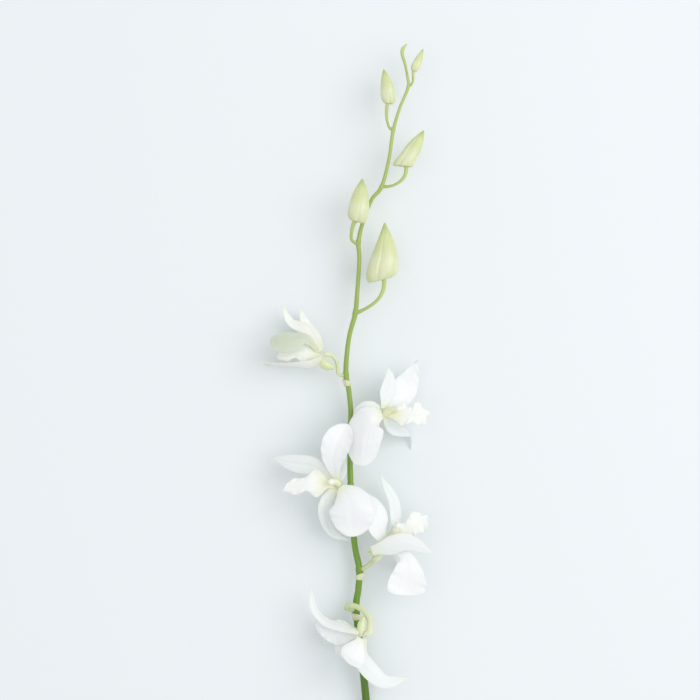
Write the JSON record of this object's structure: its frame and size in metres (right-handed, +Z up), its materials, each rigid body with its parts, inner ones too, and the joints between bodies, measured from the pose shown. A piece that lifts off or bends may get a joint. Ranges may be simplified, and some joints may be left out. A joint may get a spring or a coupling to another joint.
{
  "type": "dendrobium orchid stem",
  "caption": "Cut dendrobium orchid spray lying flat: a jointed tapering stem with white open flowers, a half-open flower, stalked greenish buds and a growing tip.",
  "frame": {"origin": "middle of the spray's outline on the surface it lies on", "axes": "+Y along the stem from the cut end to the growing tip, +X to the side that the upper buds lean to, +Z up from the surface"},
  "size_m": [0.0918, 0.4474, 0.0399],
  "materials": {
    "stem": "smooth waxy green skin",
    "stalk": "smooth pale green skin",
    "bud": "soft satin greenish cream",
    "petal": "soft translucent white",
    "sepal": "soft translucent white, faintly green at the tip",
    "lip": "soft ruffled white, yellow green in the throat",
    "column": "waxy pale yellow green",
    "bract": "thin papery straw green"
  },
  "bodies": {
    "root": {"flower_stem": "stem", "tip_bud": "bud", "bud_1": "bud", "bud_1_stalk": "stalk", "bud_2": "bud", "bud_2_stalk": "stalk", "bud_3": "bud", "bud_3_stalk": "stalk", "bud_4": "bud", "bud_4_stalk": "stalk", "bud_5": "bud", "bud_5_stalk": "stalk", "flower_1_stalk": "stalk", "flower_1_column": "column", "flower_1_lip": "lip", "flower_1_dorsal_sepal": "sepal", "flower_1_left_sepal": "sepal", "flower_1_right_sepal": "sepal", "flower_1_left_petal": "petal", "flower_1_right_petal": "petal", "flower_2_stalk": "stalk", "flower_2_column": "column", "flower_2_lip": "lip", "flower_2_dorsal_sepal": "sepal", "flower_2_left_sepal": "sepal", "flower_2_right_sepal": "sepal", "flower_2_left_petal": "petal", "flower_2_right_petal": "petal", "flower_3_stalk": "stalk", "flower_3_column": "column", "flower_3_lip": "lip", "flower_3_dorsal_sepal": "sepal", "flower_3_left_sepal": "sepal", "flower_3_right_sepal": "sepal", "flower_3_left_petal": "petal", "flower_3_right_petal": "petal", "flower_4_stalk": "stalk", "flower_4_column": "column", "flower_4_lip": "lip", "flower_4_dorsal_sepal": "sepal", "flower_4_left_sepal": "sepal", "flower_4_right_sepal": "sepal", "flower_4_left_petal": "petal", "flower_4_right_petal": "petal", "flower_5_stalk": "stalk", "flower_5_column": "column", "flower_5_lip": "lip", "flower_5_dorsal_sepal": "sepal", "flower_5_left_sepal": "sepal", "flower_5_right_sepal": "sepal", "flower_5_left_petal": "petal", "flower_5_right_petal": "petal", "bract_1": "bract", "bract_2": "bract", "bract_3": "bract", "bract_4": "bract", "bract_5": "bract", "sheath_1": "bract", "sheath_2": "bract"}
  },
  "joints": []
}
